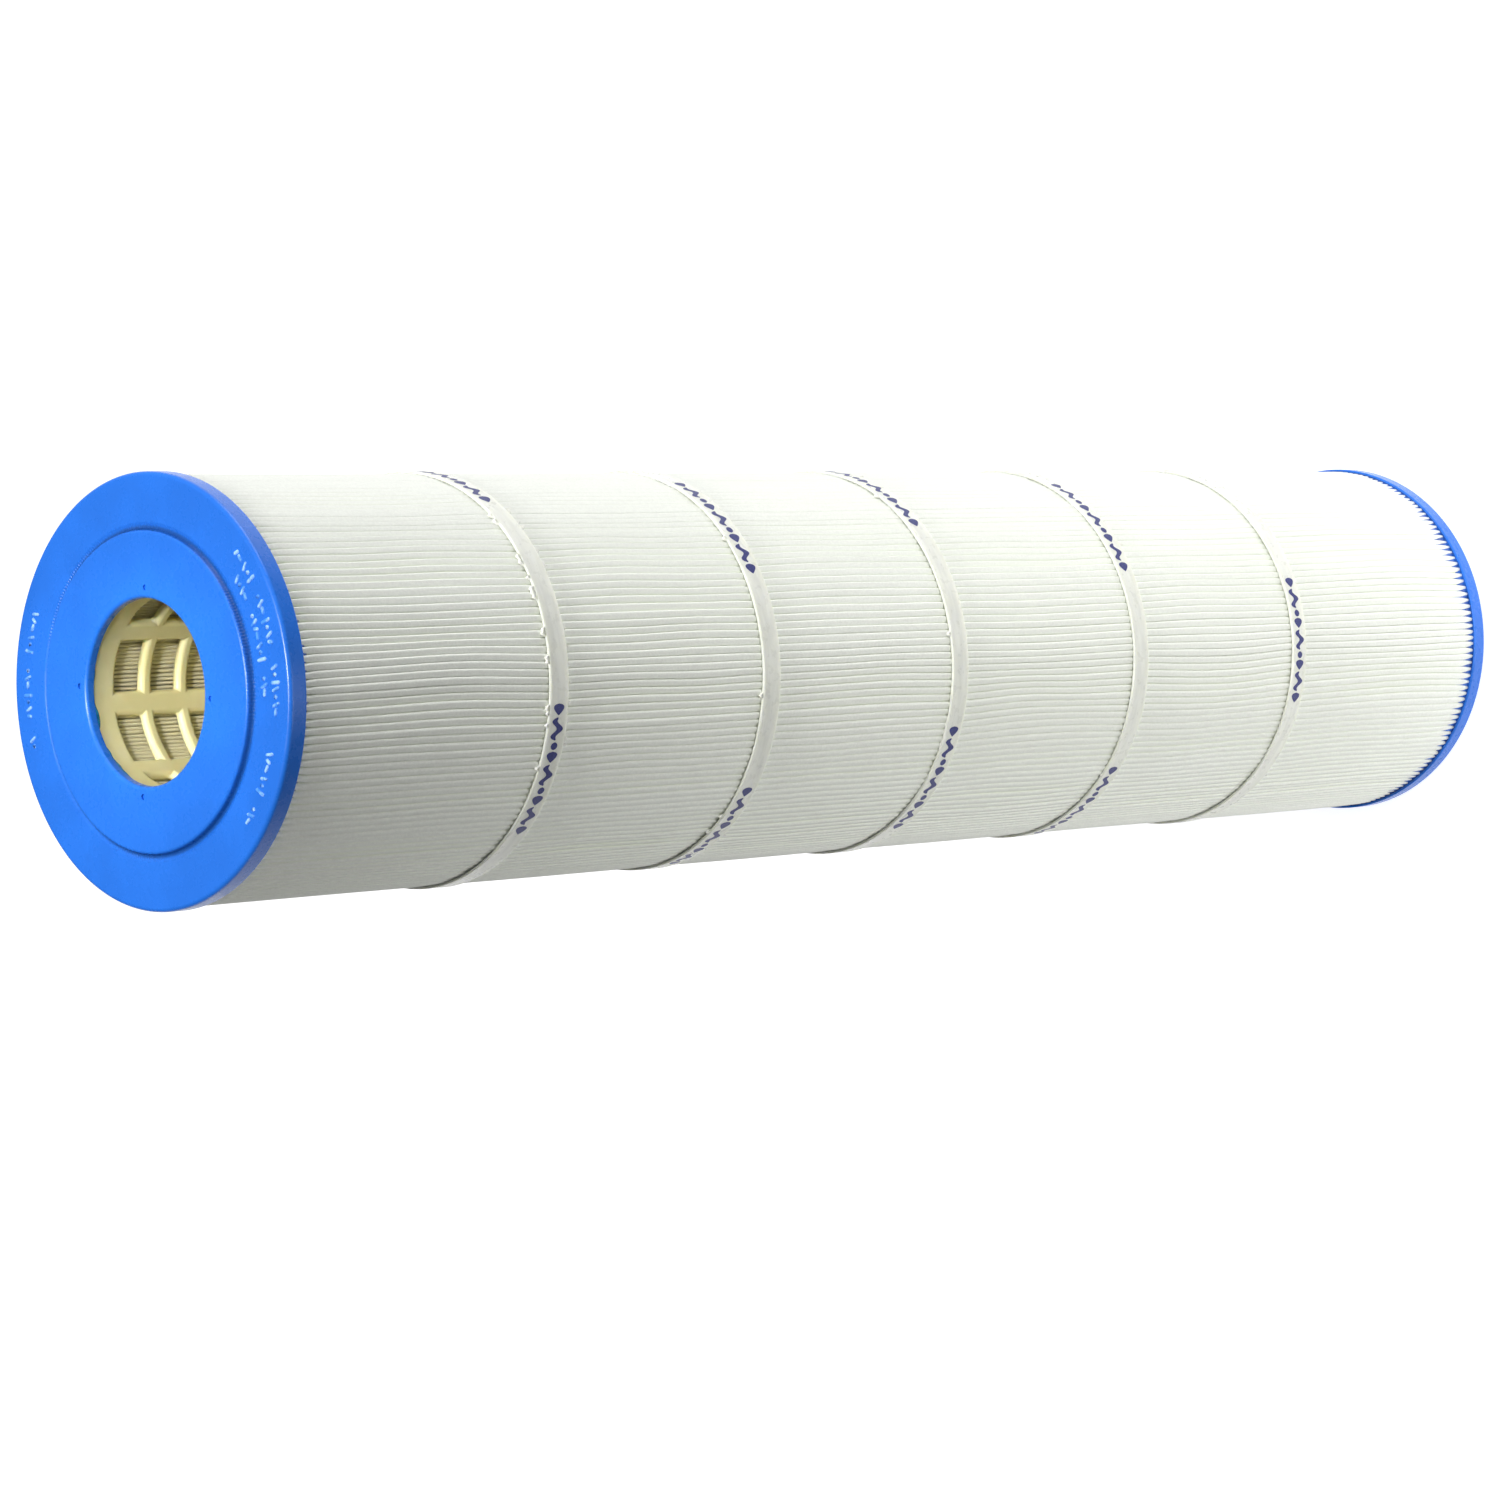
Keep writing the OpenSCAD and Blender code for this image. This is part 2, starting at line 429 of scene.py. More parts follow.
# stretches of Z that hold the pleats together: the lower cap, the five bands and the upper cap
BEYOND = 1.0
SUPPORTS = [(-BEYOND, CAP_H)]
SUPPORTS += [(z - BAND_W / 2, z + BAND_W / 2) for z in BAND_Z]
SUPPORTS += [(TOP - CAP_H, TOP + BEYOND)]
BAYS = list(zip(SUPPORTS[:-1], SUPPORTS[1:]))

# a relaxed pleat's tip from one flank to the other: (offset from the middle, depth below the crest) in mm
TIP = [(-2.0, 7.0), (-1.98, 1.9), (-1.97, 1.2), (-1.91, 0.70), (-1.72, 0.50), (-1.1, 0.34)]
TIP += [(-0.3, 0.17), (0.45, 0.04), (0.85, 0.0), (1.2, 0.07), (1.5, 0.24)]
TIP += [(1.76, 0.48), (1.91, 0.74), (1.97, 1.2), (1.98, 1.9), (2.0, 7.0)]
# a rounded inner fold: (rise above the fold's lowest line, half width) in mm
INNER_FOLD = [(0.0, 0.0), (0.10, 0.34), (0.38, 0.58), (1.3, 0.64)]
CREST = len(INNER_FOLD) + [depth for _, depth in TIP].index(0.0)  # the crest's place among a pleat's points

RELAXED, PINCHED, PINCHED_AT_CAP = TIP[-1][0] * MM, 1.35 * MM, 0.8 * MM  # half widths of a tip
CREST_GAP = 0.02 * MM  # least distance from a tip to the line halfway to the next one
FLAT_TIP = 0.25  # depth in mm where a tip's top ends and its flanks begin

# how each pleat differs from the next: where its tip sits, how it bows, sways and lifts in each bay,
# how far the pinch at a band reaches, and where the sheet's inner fold lies
seat = ring_noise(PLEATS, 1, 0.10 * MM) + ring_noise(PLEATS, 9, 0.35 * MM)
bow = [ring_noise(PLEATS, 7, 0.75 * MM) + ring_noise(PLEATS, 1, 0.13 * MM) for _ in BAYS]
sway = [ring_noise(PLEATS, 5, 0.30 * MM) for _ in BAYS]
lift = [ring_noise(PLEATS, 2, 0.13 * MM) for _ in BAYS]
tip_height = ring_noise(PLEATS, 1, 0.15 * MM)
pinch_reach = np.clip(4.2 + ring_noise(PLEATS, 1, 1.3), 2.2, 8.0) * MM
end_shift = ring_noise(PLEATS, 1, 0.16 * MM)
fold_shift = np.clip(ring_noise(PLEATS, 1, 0.13 * MM), -0.2 * MM, 0.2 * MM)
fold_r = FOLD_R + np.clip(ring_noise(PLEATS, 1, 0.16 * MM), -0.4 * MM, 0.4 * MM)


def stations():
    """Heights of the media's cross-sections, close together beside each band and cap."""
    near = [0.0, 1.2, 2.6, 4.4, 6.8, 10.0, 15.0]
    found = [MEDIA_Z0 + 0.5 * MM]
    for (_, low), (high, _) in BAYS:
        found += [low + d * MM for d in near]
        found += list(np.linspace(low + near[-1] * MM, high - near[-1] * MM, 9)[1:-1])
        found += [high - d * MM for d in reversed(near)]
    found.append(MEDIA_Z1 - 0.5 * MM)
    return found


def support_gap(z):
    """Distance from z to the nearest band or cap."""
    return min(max(low - z, z - high, 0.0) for low, high in SUPPORTS)


def bay_of(z):
    """(number of the bay that z lies in, how far along it from 0 to 1)."""
    for k, ((_, low), (high, _)) in enumerate(BAYS):
        if z <= high:
            return k, min(1.0, max(0.0, (z - low) / (high - low)))
    return len(BAYS) - 1, 1.0


def closeness_to_cap(z):
    """1 inside a cap, falling to 0 away from it."""
    if not CAP_H < z < TOP - CAP_H:
        return 1.0
    return math.exp(-min(z - CAP_H, TOP - CAP_H - z) / (9 * MM))


def media_section(z):
    """Points of the folded sheet's cross-section at height z."""
    bay, share = bay_of(z)
    gap = support_gap(z)
    free = math.sin(math.pi * share) ** 1.2
    at_cap = closeness_to_cap(z)

    middle = np.arange(PLEATS) * PITCH
    side = seat + bow[bay] * free + sway[bay] * math.sin(TAU * share) * free + end_shift * at_cap
    tip_angle = middle + side / MEDIA_R
    crest_r = MEDIA_R - 0.12 * MM + tip_height + lift[bay] * free - 0.10 * MM * math.exp(-gap / (5 * MM))

    pinch = np.exp(-(gap / (pinch_reach * (1 + 1.6 * at_cap))) ** 1.3)
    squeezed = PINCHED + (PINCHED_AT_CAP - PINCHED) * at_cap
    half = RELAXED * (1 - pinch) + squeezed * pinch
    to_next = (np.roll(tip_angle, -1) - tip_angle) % TAU * MEDIA_R
    room_right = to_next / 2 - CREST_GAP
    room_left = np.roll(to_next, 1) / 2 - CREST_GAP

    fold = middle + PITCH / 2 + side / MEDIA_R * 0.15 + fold_shift / FOLD_R
    fold_before = np.roll(fold, 1)
    fold_before[0] -= TAU

    radii, angles = [], []
    for rise, width in INNER_FOLD:
        radii.append(np.roll(fold_r, 1) + rise * MM)
        angles.append(fold_before + width * MM / FOLD_R)
    full_depth = 0.95 + 1.2 * at_cap  # depth in mm where a pinched pleat has all its relaxed width back
    for offset, depth in TIP:
        room = room_left if offset < 0 else room_right
        deep = min(1.0, max(0.0, (depth - FLAT_TIP) / (full_depth - FLAT_TIP)))
        reach = np.minimum(half, room) * (1 - deep) + np.minimum(room, RELAXED) * deep
        radii.append(crest_r - depth * MM)
        angles.append(tip_angle + reach * offset * MM / RELAXED / MEDIA_R)
    for rise, width in reversed(INNER_FOLD[1:]):
        radii.append(fold_r + rise * MM)
        angles.append(fold - width * MM / FOLD_R)
    r = np.stack(radii, 1).ravel()
    a = np.stack(angles, 1).ravel()
    return np.stack([r * np.cos(a), r * np.sin(a), np.full(r.size, z)], 1)


def make_media():
    heights = stations()
    rows = [media_section(z) for z in heights]
    faces = grid_faces(len(rows), len(rows[0]))
    obj = new_object("pleated_media_sheet", np.concatenate(rows), faces, [MEDIA])
    place(obj, "media_fabric", "pleated_media")


# ---------------------------------------------------------------- end caps

# the groove round the raised disc: (distance beyond the disc, depth below the ring's face) in mm
GROOVE = [(0.66, -0.12), (0.80, 0.16), (1.1, 0.50), (1.6, 0.60), (2.4, 0.50), (3.1, 0.22), (3.4, 0.04)]
GROOVE += [(3.7, 0.0), (4.6, 0.0)]

# raised marks: (length and width in mm, turn from the ring's direction, room along the ring in degrees)
MARKS = {
    "tall": (5.4, 1.6, 90, 1.9),
    "lean": (4.4, 1.4, 68, 2.1),
    "dot": (1.9, 1.9, 0, 2.2),
    "dash": (3.6, 1.5, 8, 3.1),
    "back": (3.2, 1.6, 112, 2.2),
}
MARK_ORDER = "tall lean dot lean dash tall dot lean back dash lean dot".split()
MARK_ROWS = [(-47, -100, 80.6), (-53, -93, 73.8), (-108, -130, 79.6), (66, 108, 79.6)]  # degrees, mm
MARK_HEIGHT = 0.6 * MM
GROUP, LEFT_OUT, GROUP_GAP = 8, 5, 1.8  # of each 8 places, number 5 is left out and made 1.8 degrees wider


def cap_profile():
    """Closed (r, z) outline of an end cap with its outer face at z = 0."""
    mouth, edge, lip, disc = 1.6 * MM, 1.8 * MM, 0.5 * MM, 1.3 * MM  # radii of its rounds
    floor, pocket_r = POCKET, MEDIA_R + 0.15 * MM
    out = [(BORE_R, floor - 0.3 * MM), (BORE_R, floor - 0.8 * MM)]
    out += arc(BORE_R + mouth, mouth, mouth, 180, 270, 8)
    out += [(BORE_R + mouth + 0.3 * MM, 0), (BORE_R + 8 * MM, 0), (BOSS_R - 2.0 * MM, 0)]
    out += arc(BOSS_R - 0.85 * MM, disc, disc, 270, 340, 10)
    out += [(BOSS_R + beyond * MM, BOSS_H + depth * MM) for beyond, depth in GROOVE]
    out += [(CAP_R - 12 * MM, BOSS_H), (CAP_R - edge - 0.6 * MM, BOSS_H)]
    out += arc(CAP_R - edge, BOSS_H + edge, edge, 270, 360, 10)
    out += [(CAP_R, BOSS_H + edge + 0.5 * MM), (CAP_R, CAP_H - lip - 0.3 * MM)]
    out += arc(CAP_R - lip, CAP_H - lip, lip, 0, 90, 5)
    out += [(pocket_r + 0.1 * MM, CAP_H), (pocket_r, CAP_H - 0.1 * MM), (pocket_r, floor + 0.2 * MM)]
    out += [(pocket_r - 0.2 * MM, floor), (CORE_RO, floor)]
    out += [(BORE_R + 1.0 * MM, floor), (BORE_R + 0.3 * MM, floor)]
    return out


def pin_cutter():
    """Four blunt pins that cut the mould's ejector marks into a cap's face."""
    pin_r, pin_at, sides = 1.2 * MM, CORE_RI + 3.3 * MM, 24
    parts = []
    for k in range(4):
        a = k * TAU / 4 + PIN_TURN
        x, y = pin_at * math.cos(a), pin_at * math.sin(a)
        ring = [(x + u, y + v) for u, v in arc(0, 0, pin_r, 0, 360 - 360 / sides, sides - 1)]
        verts = [(u, v, -1.0 * MM) for u, v in ring] + [(u, v, 1.1 * MM) for u, v in ring]
        verts.append((x, y, 1.25 * MM))
        faces = grid_faces(2, sides) + [tuple(reversed(range(sides)))]
        faces += [(sides + i, sides + (i + 1) % sides, 2 * sides) for i in range(sides)]
        parts.append((verts, faces))
    cutter = new_object("pin_cutter", *join_parts(parts), [CAP])
    face_outwards(cutter)
    return cutter


def mark(angle, r, length, width, slant):
    """A raised bar with a domed top; slant turns it from along the ring to across it."""
    dome = [(1.0, 0.0), (0.9, 0.42), (0.66, 0.80), (0.36, 0.96), (0.12, 1.0)]  # shares of width and height
    outline = arc(length / 2 - width / 2, 0, width / 2, -90, 90, 5)
    outline += arc(-length / 2 + width / 2, 0, width / 2, 90, 270, 5)
    verts = []
    for scale, rise in dome:
        for u, v in outline:
            u, v = u - (1 - scale) * width / 2 * np.sign(u), v * scale
            along = u * math.cos(slant) - v * math.sin(slant)
            across = u * math.sin(slant) + v * math.cos(slant)
            verts.append(polar(r + across, angle + along / r, BOSS_H - rise * MARK_HEIGHT))
    faces = grid_faces(len(dome), len(outline))
    faces.append(tuple(range(len(verts) - len(outline), len(verts))))
    return verts, faces


def cap_marks():
    """Rows of plain raised bars and dots: three on one side of the cap's face, and one opposite."""
    parts = []
    for first, last, radius in MARK_ROWS:
        at, k = first, int(radius)
        while (last - at) * (last - first) > 0:
            length, width, slant, room = MARKS[MARK_ORDER[k % len(MARK_ORDER)]]
            if k % GROUP == LEFT_OUT:
                room += GROUP_GAP
            else:
                turn = math.radians(slant)
                parts.append(mark(math.radians(at), radius * MM, length * MM, width * MM, turn))
            at += math.copysign(room, last - first)
            k += 1
    return parts


def add_marks(cap):
    verts, faces = join_parts(cap_marks())
    marks = bpy.data.meshes.new("marks")
    marks.from_pydata(verts, [], faces)
    marks.polygons.foreach_set("material_index", [1] * len(faces))
    bm = bmesh.new()
    bm.from_mesh(cap.data)
    bm.from_mesh(marks)
    bmesh.ops.recalc_face_normals(bm, faces=bm.faces)
    for f in bm.faces:
        f.smooth = True
    bm.to_mesh(cap.data)
    bm.free()
    bpy.data.meshes.remove(marks)


def make_cap(name, node, upper):
    cap = new_object(name, *lathe(cap_profile(), 288), [CAP, MARKING])
    face_outwards(cap)
    cutter = pin_cutter()
    cut = cap.modifiers.new("pins", "BOOLEAN")
    cut.operation = "DIFFERENCE"
    cut.solver = "EXACT"
    cut.object = cutter
    apply_modifiers(cap)
    bpy.data.objects.remove(cutter)
    sharpen(cap, 32)
    add_marks(cap)
    if upper:
        cap.data.transform(Matrix.Translation((0, 0, TOP)) @ Matrix.Scale(-1, 4, (0, 0, 1)))
        cap.data.flip_normals()
    place(cap, "cap_plastic", node)


# ---------------------------------------------------------------- potting resin

# a fin from its foot up: (share of its height, share of its width, how far its front leans back in mm)
FIN_LEVELS = [(0.0, 1.0, 0.0), (0.35, 0.78, 0.25), (0.7, 0.45, 0.6), (1.0, 0.08, 1.2)]
# half of a fin's rounded front: (depth below the pleat tips in mm, share of the half width)
FIN_FRONT = [(1.2, 1.0), (0.55, 0.55), (0.4, 0.0)]
FIN_BACK, FIN_BACK_SHARE = 9 * MM, 0.8
FIN_CLEARANCE = 0.35 * MM  # between a fin's sides and the crests beside it

# the lower points of the squeezed-out resin: (how far into the bore, how far down), per unit of thickness
FLASH_FRONT = [(0.80, 0.8), (0.65, 1.7), (0.20, 2.5)]


def resin_fin(middle, half, foot, height):
    """A thin fin of resin between two pleats; middle and half width are angles."""
    verts = []
    for share, width, back in FIN_LEVELS:
        side = [(MEDIA_R - FIN_BACK, FIN_BACK_SHARE)]
        side += [(MEDIA_R - depth * MM - back * MM, w) for depth, w in FIN_FRONT]
        section = [(r, -w) for r, w in side] + [(r, w) for r, w in reversed(side[:-1])]
        verts += [polar(r, middle + half * width * w, foot + share * height) for r, w in section]
    count = len(verts) // len(FIN_LEVELS)
    faces = grid_faces(len(FIN_LEVELS), count)
    faces.append(tuple(range(len(verts) - count, len(verts))))
    return verts, faces


def make_resin(name, node, upper, reach):
    """The resin's level in the cap's pocket, with a thin fin creeping up between each two pleats."""
    level, bottom = CAP_H - 0.4 * MM, POCKET + 0.3 * MM
    inside, outside = CORE_RO - 0.3 * MM, MEDIA_R + 0.1 * MM
    profile = [(inside, bottom), (inside, level - 0.5 * MM), (CORE_RO + 0.3 * MM, level)]
    profile += [(CORE_RO + 6 * MM, level - 0.1 * MM), (MEDIA_R - 8 * MM, level - 0.1 * MM)]
    profile += [(MEDIA_R - 2 * MM, level), (outside, level + 0.3 * MM), (outside, bottom)]
    parts = [lathe(profile, PLEATS)]

    heights = 3.2 + ring_noise(PLEATS, 1, 1.1) + np.maximum(ring_noise(PLEATS, 1, 1.6), 0)
    heights = np.clip(heights, 1.2, 6.0) * MM * reach
    section = media_section(TOP - CAP_H - 0.2 * MM if upper else CAP_H + 0.2 * MM)
    crests = section[CREST::len(section) // PLEATS]
    for i in range(PLEATS):
        here, after = crests[i], crests[(i + 1) % PLEATS]
        start = math.atan2(here[1], here[0])
        end = start + (math.atan2(after[1], after[0]) - start) % TAU
        half = (end - start) / 2 - FIN_CLEARANCE / MEDIA_R
        parts.append(resin_fin((start + end) / 2, half, level - 0.2 * MM, heights[i]))
    verts, faces = join_parts(parts)
    if upper:
        verts = [(x, y, TOP - z) for x, y, z in verts]
        faces = [tuple(reversed(f)) for f in faces]
    obj = new_object(name, verts, faces, [RESIN])
    sharpen(obj, 50)
    place(obj, "potting_resin", node)


def make_flash():
    """Resin squeezed out between the upper cap and the core, thickest on one side of the opening."""
    steps = 220
    first, last = math.radians(68), math.radians(190)
    lump = ring_noise(steps, 16, 0.26)
    fine = ring_noise(steps, 7, 0.08)
    top, root_r = TOP - POCKET + 0.05 * MM, CORE_RI + 0.5 * MM
    verts = []
    for k in range(steps):
        t = k / (steps - 1)
        fat = max(0.08, math.sin(math.pi * t) ** 0.7 * (0.55 + lump[k] + fine[k])) * MM
        section = [(root_r, top), (CORE_RI - 0.40 * fat, top - 0.05 * MM)]
        section += [(CORE_RI - out * fat, top - down * fat) for out, down in FLASH_FRONT]
        section.append((root_r, top - 3.4 * fat))
        verts += [polar(r, first + (last - first) * t, z) for r, z in section]
    obj = new_object("resin_flash", verts, grid_faces(steps, 6, False), [FLASH])
    bm = bmesh.new()
    bm.from_mesh(obj.data)
    bmesh.ops.holes_fill(bm, edges=[e for e in bm.edges if e.is_boundary], sides=0)
    bm.to_mesh(obj.data)
    bm.free()
    face_outwards(obj)
    sharpen(obj, 60)
    place(obj, "potting_resin")


# ---------------------------------------------------------------- core

WINDOWS_AROUND = 8
WINDOW_ROWS = 6
WINDOW_LEN = 13.4 * MM
RING_W = 5.6 * MM
WINDOW_ANGLE = math.radians(31)
FIRST_WINDOW = math.radians(30)  # where the middle of one column of windows lies
WINDOW_STEPS, BAR_STEPS = 9, 4  # quads across a window, and across the bar between two


def core_heights(z0, length):
    """(heights of a section's rows of points, rows that have windows, length of the plain collars)."""
    collar = (length - WINDOW_ROWS * WINDOW_LEN - (WINDOW_ROWS - 1) * RING_W) / 2
    heights, open_rows = [z0, z0 + collar * 0.5], set()
    z = z0 + collar
    for _ in range(WINDOW_ROWS):
        open_rows.update(range(len(heights), len(heights) + 3))
        heights += [z, z + WINDOW_LEN / 3, z + WINDOW_LEN * 2 / 3, z + WINDOW_LEN]
        z += WINDOW_LEN + RING_W
    heights += [z0 + length - collar * 0.5, z0 + length]
    return heights, open_rows, collar


def core_angles():
    """(angles of the columns of points, columns that have windows)."""
    step = TAU / WINDOWS_AROUND
    bar = step - WINDOW_ANGLE
    angles, open_cols = [], set()
    for k in range(WINDOWS_AROUND):
        a = FIRST_WINDOW + k * step - WINDOW_ANGLE / 2
        open_cols.update(range(len(angles), len(angles) + WINDOW_STEPS))
        angles += [a + WINDOW_ANGLE * i / WINDOW_STEPS for i in range(WINDOW_STEPS)]
        angles += [a + WINDOW_ANGLE + bar * i / BAR_STEPS for i in range(BAR_STEPS)]
    return angles, open_cols


def core_shell(heights, open_rows, angles, open_cols):
    """A tube with a wall, and windows where a row and a column are both open."""
    rows, cols = len(heights), len(angles)

    def solid(j, i):
        return 0 <= j < rows - 1 and not (j in open_rows and i % cols in open_cols)

    def at(outer, j, i):
        return (outer * rows + j) * cols + i % cols

    faces = []
    for j in range(rows - 1):
        for i in range(cols):
            if not solid(j, i):
                continue
            faces.append((at(0, j, i), at(0, j + 1, i), at(0, j + 1, i + 1), at(0, j, i + 1)))
            faces.append((at(1, j, i), at(1, j, i + 1), at(1, j + 1, i + 1), at(1, j + 1, i)))
            if not solid(j - 1, i):
                faces.append((at(0, j, i), at(0, j, i + 1), at(1, j, i + 1), at(1, j, i)))
            if not solid(j + 1, i):
                faces.append((at(0, j + 1, i), at(1, j + 1, i), at(1, j + 1, i + 1), at(0, j + 1, i + 1)))
            if not solid(j, i - 1):
                faces.append((at(0, j, i), at(1, j, i), at(1, j + 1, i), at(0, j + 1, i)))
            if not solid(j, i + 1):
                faces.append((at(0, j, i + 1), at(0, j + 1, i + 1), at(1, j + 1, i + 1), at(1, j, i + 1)))
    verts = [polar(r, a, z) for r in (CORE_RI, CORE_RO) for z in heights for a in angles]
    return verts, faces


def make_core_section(number):
    """A windowed tube with well rounded rings and bars, and crisper ends where sections meet."""
    node = "core_section_%d" % number
    z0 = span_z(node)[0]
    length = (TOP - 2 * POCKET) / CORE_SECTIONS
    heights, open_rows, collar = core_heights(z0, length)
    obj = new_object(node + "_shell", *core_shell(heights, open_rows, *core_angles()), [CORE])
    bm = bmesh.new()
    bm.from_mesh(obj.data)
    bmesh.ops.delete(bm, geom=[v for v in bm.verts if not v.link_faces], context="VERTS")
    bmesh.ops.recalc_face_normals(bm, faces=bm.faces)
    weight = bm.edges.layers.float.new("bevel_weight_edge")
    first_ring, last_ring = z0 + collar * 0.7, z0 + length - collar * 0.7
    for e in bm.edges:
        if len(e.link_faces) == 2 and e.calc_face_angle(0) > math.radians(50):
            z = (e.verts[0].co.z + e.verts[1].co.z) / 2
            e[weight] = 1.0 if first_ring < z < last_ring else 0.12
    bm.to_mesh(obj.data)
    bm.free()
    bevel = obj.modifiers.new("round", "BEVEL")
    bevel.limit_method = "WEIGHT"
    bevel.width = 2.1 * MM
    bevel.segments = 4
    bevel.use_clamp_overlap = True
    bevel.harden_normals = True
    place(obj, "core_plastic", node)


# ---------------------------------------------------------------- bands and their glue

BAND_IN = GLUE_R + 0.02 * MM
STRAP_T = 0.58 * MM
STRAP_STEPS = 380
LAP = 28 * MM / MEDIA_R  # angle of the lap
CLIMB = math.radians(9)  # angle over which a strap climbs onto its own start

PRINT_START = {5: 7, 4: -21.7, 3: -6, 2: -24, 1: -68}  # degrees, for each band's middle print
PRINT_REPEAT = 103.4  # degrees from one print to the next
PRINT_GAP = 0.7  # mm between two marks of a print
PRINT_COLS, PRINT_ROWS = 17, 4  # points along and across a mark
INK_LIFT = 0.02 * MM

NUBS = {5: 20, 4: 6, 3: 4, 2: 4, 1: 5}  # blobs of adhesive on each edge of a band
GLUE_STEPS = 900


def swell(t, power):
    """Rises from 0 at t = 0 to 1 halfway, and falls to 0 again at t = 1."""
    return max(0.0, math.sin(math.pi * t)) ** power


def drop(t):
    half = 2.9 * swell(t ** 0.6, 0.9)
    return -half, half


def ripple(t):
    middle, half = 1.6 * math.sin(TAU * 1.5 * t), 1.8 * swell(t, 0.3)
    return middle - half, middle + half


def dot(t):
    half = 1.8 * swell(t, 0.5)
    return -half, half


# a print's marks: (lower and upper edge in mm as t goes from 0 to 1, length in mm)
PRINT = [(drop, 5.0), (ripple, 10.0), (dot, 3.4)] * 2 + [(drop, 5.0), (ripple, 10.0), (drop, 5.0)]


def strap_path(start):
    """Angle, extra radius and shift along Z at each step of a strap that ends on top of its own start."""
    t = np.linspace(0, TAU + LAP, STRAP_STEPS)
    climb = np.clip((t - (TAU - CLIMB)) / CLIMB, 0, 1)
    climb = climb * climb * (3 - 2 * climb) * (STRAP_T + 0.06 * MM)
    lean_out = ring_noise(64, 5, 0.05 * MM)
    lean_up = ring_noise(24, 3, 0.28 * MM)
    extra = np.interp(t % TAU, np.linspace(0, TAU, 65), np.append(lean_out, lean_out[0])) + climb
    shift = np.interp(t % TAU, np.linspace(0, TAU, 25), np.append(lean_up, lean_up[0]))
    return start + t, extra + 0.05 * MM, shift


def strap_outline():
    """(height above the pleats, z) points of a strap's section; its edges curl in onto the pleats."""
    w, t = BAND_W / 2, STRAP_T
    half = [(0.0, 0.0), (-0.02 * MM, w - 2.2 * MM), (-0.46 * MM, w - 0.5 * MM), (-0.44 * MM, w - 0.08 * MM)]
    half += [(t * 0.75, w), (t + 0.07 * MM, w - 0.28 * MM), (t + 0.09 * MM, w - 0.75 * MM)]
    half += [(t - 0.02 * MM, w - 1.5 * MM), (t - 0.04 * MM, w * 0.4)]
    return half + [(r, -z) for r, z in reversed(half[1:])]


def make_band(number):
    """A strap with a lap, and three prints of drops, ripples and dots on it."""
    node = "band_%d" % number
    z_mid = BAND_Z[number - 1]
    angle, extra, shift = strap_path(math.radians(78 + 7 * number))
    outline = strap_outline()
    verts = []
    for a, e, dz in zip(angle, extra, shift):
        verts += [polar(BAND_IN + e + r, a, z_mid + dz + z) for r, z in outline]
    count = len(outline)
    faces = grid_faces(STRAP_STEPS, count)
    faces += [tuple(range(count)), tuple(range(len(verts) - 1, len(verts) - count - 1, -1))]
    parts = [(verts, faces)]

    def print_point(a, v):
        """A point of a print at angle a, v mm above the band's middle."""
        turned = (a - angle[0]) % TAU
        e = float(np.interp(turned, angle - angle[0], extra))
        dz = float(np.interp(turned, angle - angle[0], shift))
        return polar(BAND_IN + e + STRAP_T + INK_LIFT, a, z_mid + dz + v * MM)

    for turn in (-1, 0, 1):
        start, along = math.radians(PRINT_START[number] + turn * PRINT_REPEAT), 0.0
        for shape, length in PRINT:
            patch = []
            for k in range(PRINT_COLS):
                t = k / (PRINT_COLS - 1)
                a = start - (along + length * t) * MM / (BAND_IN + STRAP_T)
                low, high = shape(t)
                across = [low + (high - low) * j / (PRINT_ROWS - 1) for j in range(PRINT_ROWS)]
                patch += [print_point(a, v) for v in across]
            parts.append((patch, grid_faces(PRINT_COLS, PRINT_ROWS, False)))
            along += length + PRINT_GAP
    all_verts, all_faces = join_parts(parts)
    material_of = [0] * len(faces) + [1] * (len(all_faces) - len(faces))
    obj = new_object(node + "_strap", all_verts, all_faces, [BAND, INK], material_of)
    sharpen(obj, 42)
    place(obj, "band_plastic", node)


def glue_edge(number):
    """(distance from the band's middle, thickness above the strap's bed) round one edge of a bead."""
    width = BAND_W / 2 - 0.7 * MM + ring_noise(GLUE_STEPS, 30, 0.28 * MM)
    width = width + ring_noise(GLUE_STEPS, 5, 0.12 * MM)
    thick = np.zeros(GLUE_STEPS)
    # the top band's blobs lie on the -Y side and the others' all round; each edge has 3 more on the +Y side
    low, high = (-125, -35) if number == len(BANDS) else (-180, 180)
    places = rng.uniform(low, high, NUBS[number])
    places = np.append(places, rng.uniform(0, 180, 3))
    angle = np.arange(GLUE_STEPS) / GLUE_STEPS * 360 - 180
    for place_at in places:
        gap = (angle - place_at + 180) % 360 - 180
        blob = np.exp(-((gap / rng.uniform(0.5, 0.85)) ** 2))
        size = rng.uniform(1.3, 2.4) * MM
        width = np.maximum(width, width * (1 - blob) + (BAND_W / 2 + size) * blob)
        thick = np.maximum(thick, blob * 1.1 * MM)
    return width, thick


